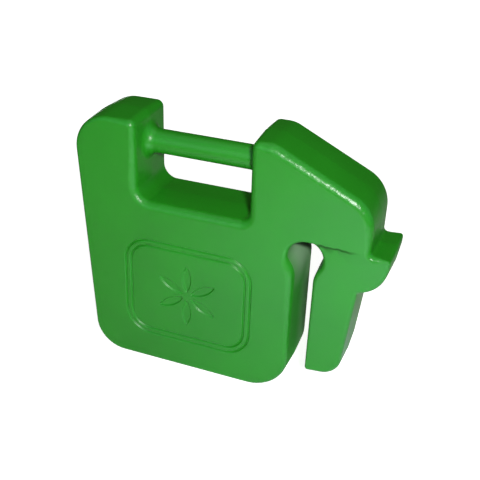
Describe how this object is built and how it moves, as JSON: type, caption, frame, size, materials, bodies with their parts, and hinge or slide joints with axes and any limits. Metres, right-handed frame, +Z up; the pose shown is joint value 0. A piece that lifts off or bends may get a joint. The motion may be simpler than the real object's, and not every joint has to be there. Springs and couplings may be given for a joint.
{
  "type": "tractor rear weight",
  "caption": "Slab-shaped cast iron ballast weight with a round hand bar across a top notch, and a slot with a round pocket that hooks it over a weight bracket's rail.",
  "frame": {"origin": "middle of the length and thickness, on the ground that the flat base stands on", "axes": "+X along the length from the horn to the lug; +Y through the thickness, from the ornamented front face to the plain back face; +Z up"},
  "size_m": [0.2744, 0.059, 0.2321],
  "materials": {
    "green_paint": "gloss green paint over cast iron"
  },
  "bodies": {
    "root": {"weight_casting": "green_paint"}
  },
  "joints": []
}
